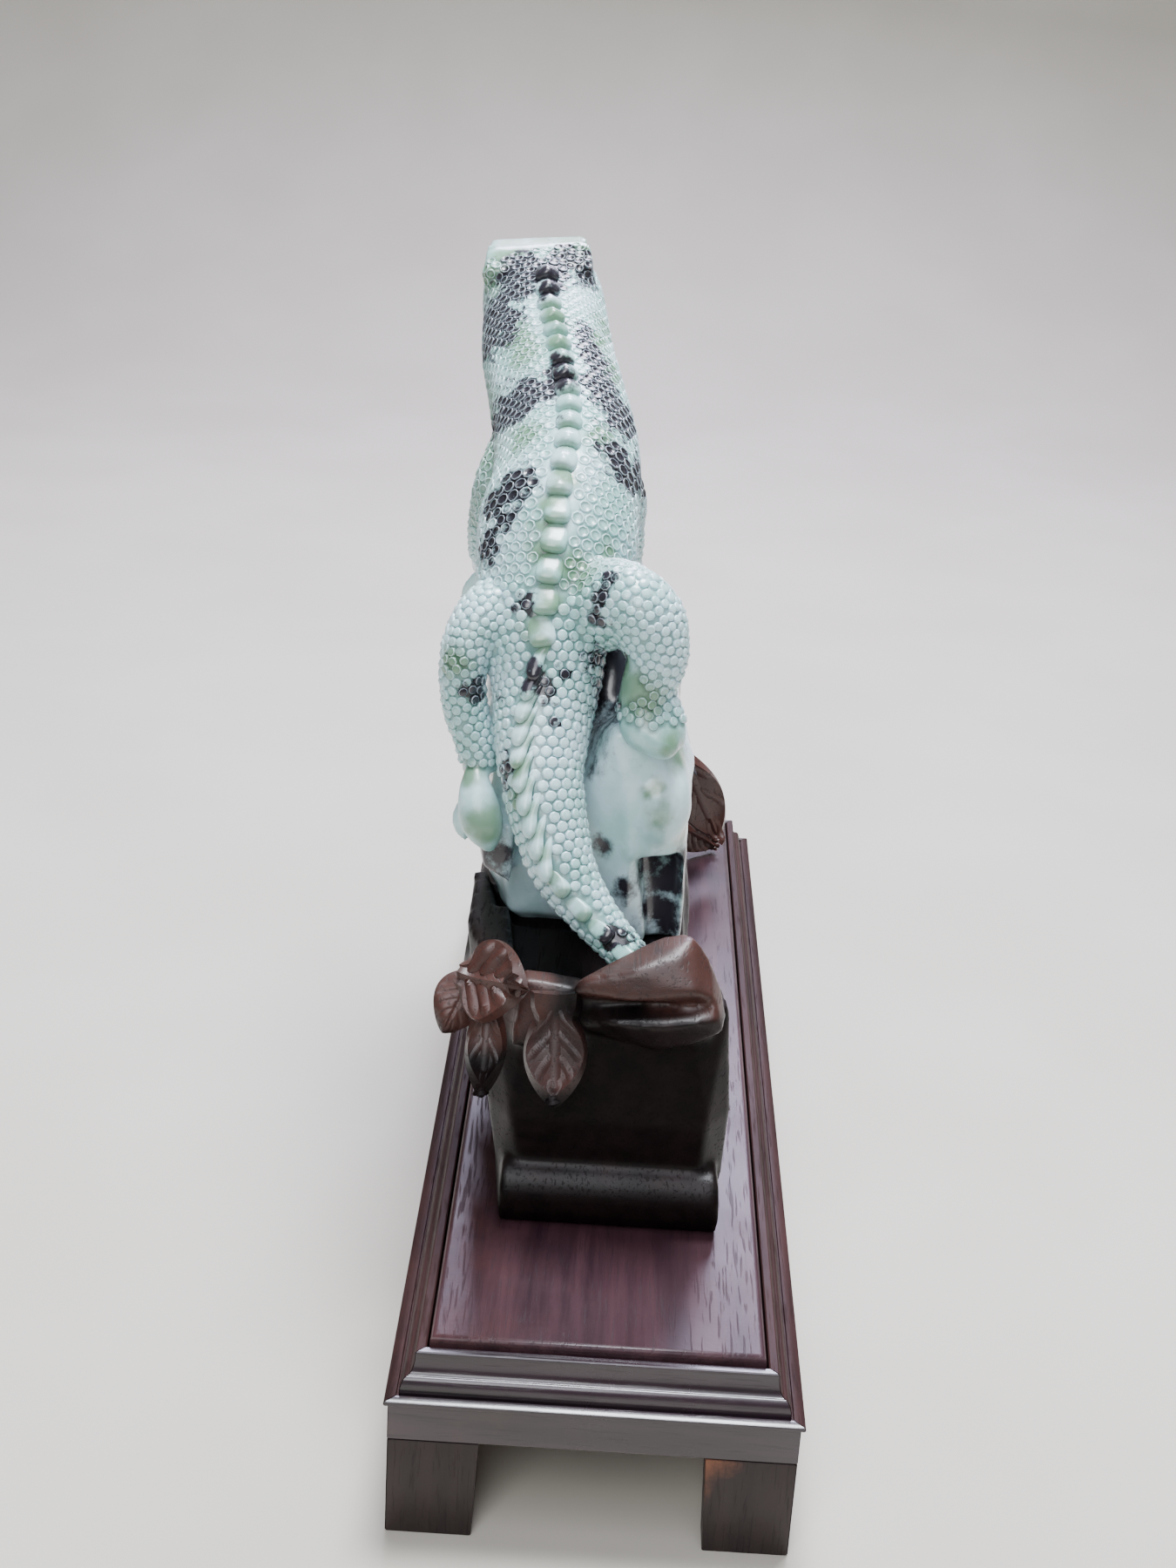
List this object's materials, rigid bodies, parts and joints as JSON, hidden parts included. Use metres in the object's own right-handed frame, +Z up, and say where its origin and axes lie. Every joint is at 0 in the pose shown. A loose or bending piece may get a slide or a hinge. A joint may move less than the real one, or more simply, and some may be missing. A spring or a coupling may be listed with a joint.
{
  "type": "jade figurine",
  "caption": "Carved green and white jade lizard climbing a jade rock, seated in a carved rosewood mount on a long moulded rosewood display base with corner feet.",
  "frame": {"origin": "middle of the base, on the surface its feet stand on", "axes": "+Z up, +Y along the base towards the lizard's head, +X to the right as seen from the tail"},
  "size_m": [0.0922, 0.32, 0.2472],
  "materials": {
    "jade": "polished mottled jade, pale mint and white with green veins and charcoal patches",
    "rosewood_mount": "dark waxed rosewood, glossy, redder on worn edges",
    "rosewood_panel": "polished purple-brown rosewood with fine grain along the base",
    "rosewood_frame": "waxed rosewood moulding, satin fascia",
    "rosewood_feet": "dull dark rosewood with a small chip on one foot",
    "inner_wood": "unfinished hidden hardwood",
    "screw_steel": "plain steel wood screw"
  },
  "bodies": {
    "root": {"jade_carving": "jade", "carved_mount": "rosewood_mount", "top_panel": "rosewood_panel", "frame_rail_front": "rosewood_frame", "frame_rail_right": "rosewood_frame", "frame_rail_back": "rosewood_frame", "frame_rail_left": "rosewood_frame", "foot_front_left_end": "rosewood_feet", "foot_front_left_side": "rosewood_feet", "dowel_front_left_end": "inner_wood", "dowel_front_left_side": "inner_wood", "corner_block_front_left": "inner_wood", "mitre_key_front_left": "inner_wood", "foot_front_right_end": "rosewood_feet", "foot_front_right_side": "rosewood_feet", "dowel_front_right_end": "inner_wood", "dowel_front_right_side": "inner_wood", "corner_block_front_right": "inner_wood", "mitre_key_front_right": "inner_wood", "foot_back_left_end": "rosewood_feet", "foot_back_left_side": "rosewood_feet", "dowel_back_left_end": "inner_wood", "dowel_back_left_side": "inner_wood", "corner_block_back_left": "inner_wood", "mitre_key_back_left": "inner_wood", "foot_back_right_end": "rosewood_feet", "foot_back_right_side": "rosewood_feet", "dowel_back_right_end": "inner_wood", "dowel_back_right_side": "inner_wood", "corner_block_back_right": "inner_wood", "mitre_key_back_right": "inner_wood", "cross_batten_front": "inner_wood", "cross_batten_back": "inner_wood", "mount_screw_front": "screw_steel", "mount_screw_back": "screw_steel"}
  },
  "joints": []
}
